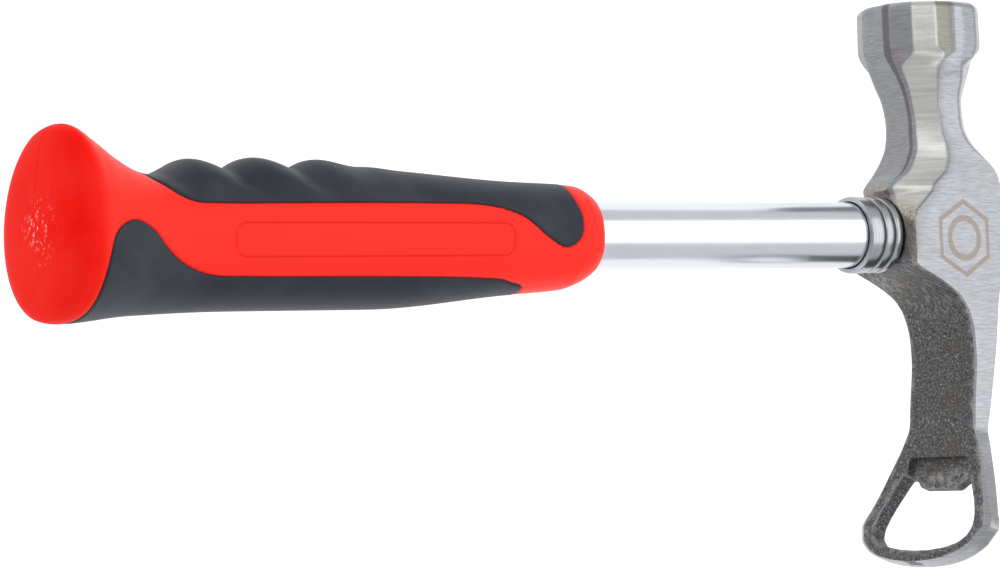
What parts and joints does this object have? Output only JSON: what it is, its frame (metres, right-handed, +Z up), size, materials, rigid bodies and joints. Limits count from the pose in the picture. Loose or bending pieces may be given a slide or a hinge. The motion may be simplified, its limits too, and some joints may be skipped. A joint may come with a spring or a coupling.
{
  "type": "bottle opener hammer",
  "caption": "Striking hammer with a forged steel head, a bottle-opener loop in place of the claw, a chromed tube handle and a two-component red and grey grip.",
  "frame": {"origin": "middle of the bottom of the bounding box: the hammer lies on its side and the handle axis is 27 mm above the base", "axes": "+X along the handle from pommel to head, +Y towards the striking face, -Y towards the opener loop, +Z up, across the head"},
  "size_m": [0.2906, 0.156, 0.054],
  "materials": {
    "forged_steel": "ground and brushed on the outside, dark forging skin on the side of the opener facing the handle",
    "chrome_plate": "bright chrome plating",
    "turned_steel": "fine turned",
    "dowel_wood": "raw hardwood",
    "black_plastic": "moulded",
    "red_plastic": "satin moulded",
    "grey_rubber": "matte soft-touch"
  },
  "bodies": {
    "root": {"forged_head": "forged_steel", "handle_tube": "chrome_plate", "ribbed_collar": "turned_steel", "eye_plug": "turned_steel", "core_dowel": "dowel_wood", "tube_end_plug": "black_plastic", "grip_core": "red_plastic", "upper_grip_pad": "grey_rubber", "lower_grip_pad": "grey_rubber"}
  },
  "joints": []
}
